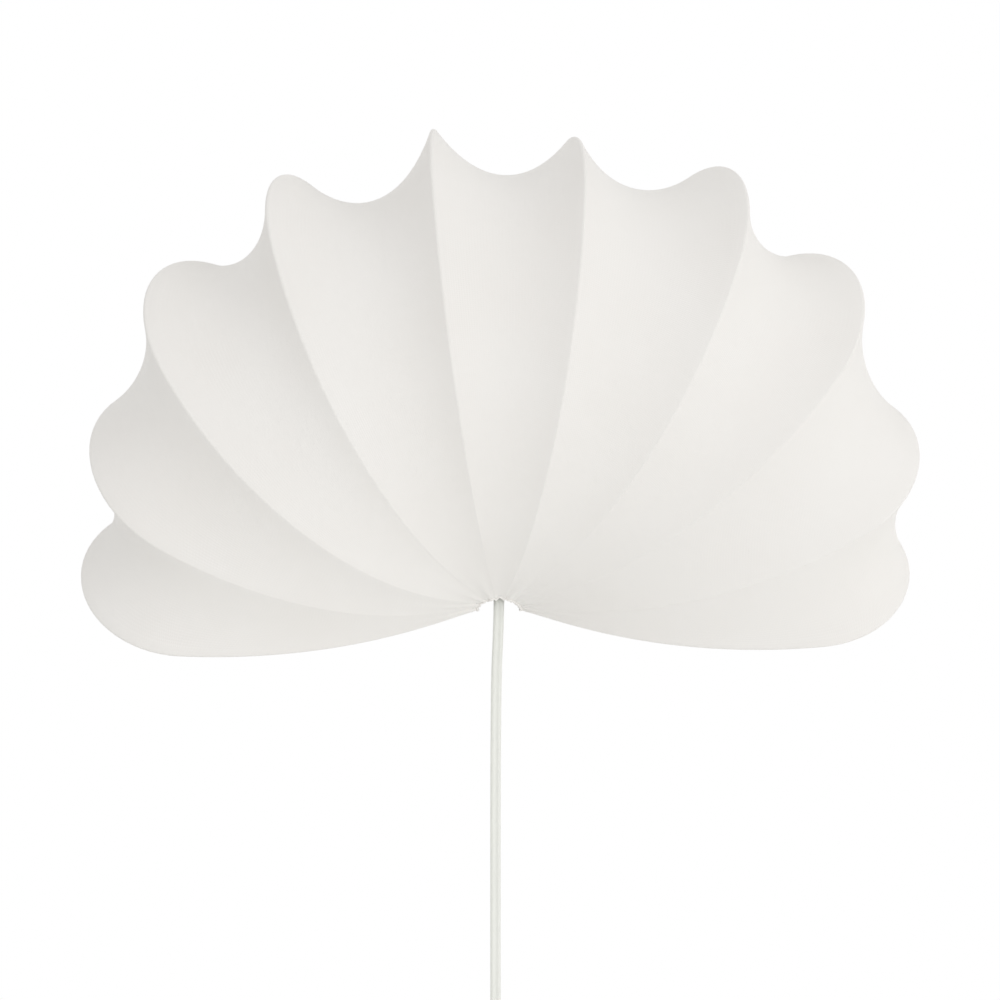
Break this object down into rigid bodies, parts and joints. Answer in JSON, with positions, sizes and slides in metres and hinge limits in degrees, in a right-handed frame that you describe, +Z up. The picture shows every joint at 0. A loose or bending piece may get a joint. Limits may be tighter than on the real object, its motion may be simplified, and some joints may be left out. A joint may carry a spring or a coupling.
{
  "type": "wall sconce",
  "caption": "Plug-in wall light: a scalloped shell of stretched white fabric over a fan of wire hoops, with a hanging flat cord, rocker switch and plug.",
  "frame": {"origin": "on the wall, at the back face of the wall plate, where the planes of all the hoops meet", "axes": "+Z up, +X to the right across the shell, +Y into the wall"},
  "size_m": [0.5416, 0.1549, 0.832],
  "materials": {
    "white_wire": "white powder coat",
    "jersey": "white knitted stretch jersey",
    "white_steel": "white powder coat",
    "zinc_steel": "zinc plated",
    "white_pvc": "soft moulded",
    "white_plastic": "moulded",
    "porcelain": "glazed",
    "nickel_brass": "nickel plated, rolled",
    "brass": "stamped",
    "lead_sleeve": "extruded",
    "black_glass": "fused",
    "potting": "cast",
    "bulb_plastic": "moulded",
    "board_white": "solder mask",
    "opal_globe": "opal, frosted",
    "cord_pvc": "extruded",
    "tie_nylon": "moulded",
    "switch_plastic": "moulded",
    "rocker_plastic": "moulded",
    "blade_brass": "stamped, nickel flashed"
  },
  "bodies": {
    "root": {"hoop_1": "white_wire", "hoop_2": "white_wire", "hoop_3": "white_wire", "hoop_4": "white_wire", "hoop_5": "white_wire", "hoop_6": "white_wire", "hoop_7": "white_wire", "hoop_8": "white_wire", "hoop_9": "white_wire", "hoop_10": "white_wire", "nose_ring": "white_wire", "cover_panel_1": "jersey", "cover_panel_2": "jersey", "cover_panel_3": "jersey", "cover_panel_4": "jersey", "cover_panel_5": "jersey", "cover_panel_6": "jersey", "cover_panel_7": "jersey", "cover_panel_8": "jersey", "cover_panel_9": "jersey", "cover_end_left": "jersey", "cover_end_right": "jersey", "wall_plate": "white_steel", "holder_bracket": "white_steel", "bracket_screws": "zinc_steel", "nipple": "zinc_steel", "nipple_nut": "zinc_steel", "strain_relief": "white_pvc", "holder_cap": "white_plastic", "holder_shell": "white_plastic", "contact_block": "porcelain", "screw_shell": "nickel_brass", "centre_contact": "brass", "terminal_screws": "brass", "lead_wires": "lead_sleeve", "cord_drop": "cord_pvc", "cord_link": "cord_pvc", "cord_coil": "cord_pvc", "cord_tail": "cord_pvc", "cord_tie": "tie_nylon", "switch_base": "switch_plastic", "switch_cover": "switch_plastic", "rocker_pin": "zinc_steel", "switch_screws": "zinc_steel", "switch_contacts": "brass", "plug_body": "cord_pvc", "plug_blades": "blade_brass"},
    "bulb": {"bulb_contact": "brass", "bulb_insulator": "black_glass", "bulb_cap": "nickel_brass", "bulb_driver": "potting", "bulb_housing": "bulb_plastic", "led_board": "board_white", "bulb_globe": "opal_globe"},
    "rocker": {"switch_rocker": "rocker_plastic"}
  },
  "joints": [
    {"name": "bulb_turn", "type": "hinge", "parent": "root", "child": "bulb", "pos_m": [0, -0.042, 0.004], "axis": [0, -0.2079, 0.9781], "continuous": true},
    {"name": "rocker_tip", "type": "hinge", "parent": "root", "child": "rocker", "pos_m": [-0.002, -0.035, -0.325], "axis": [1, 0, 0], "range_deg": [0, 16]}
  ]
}
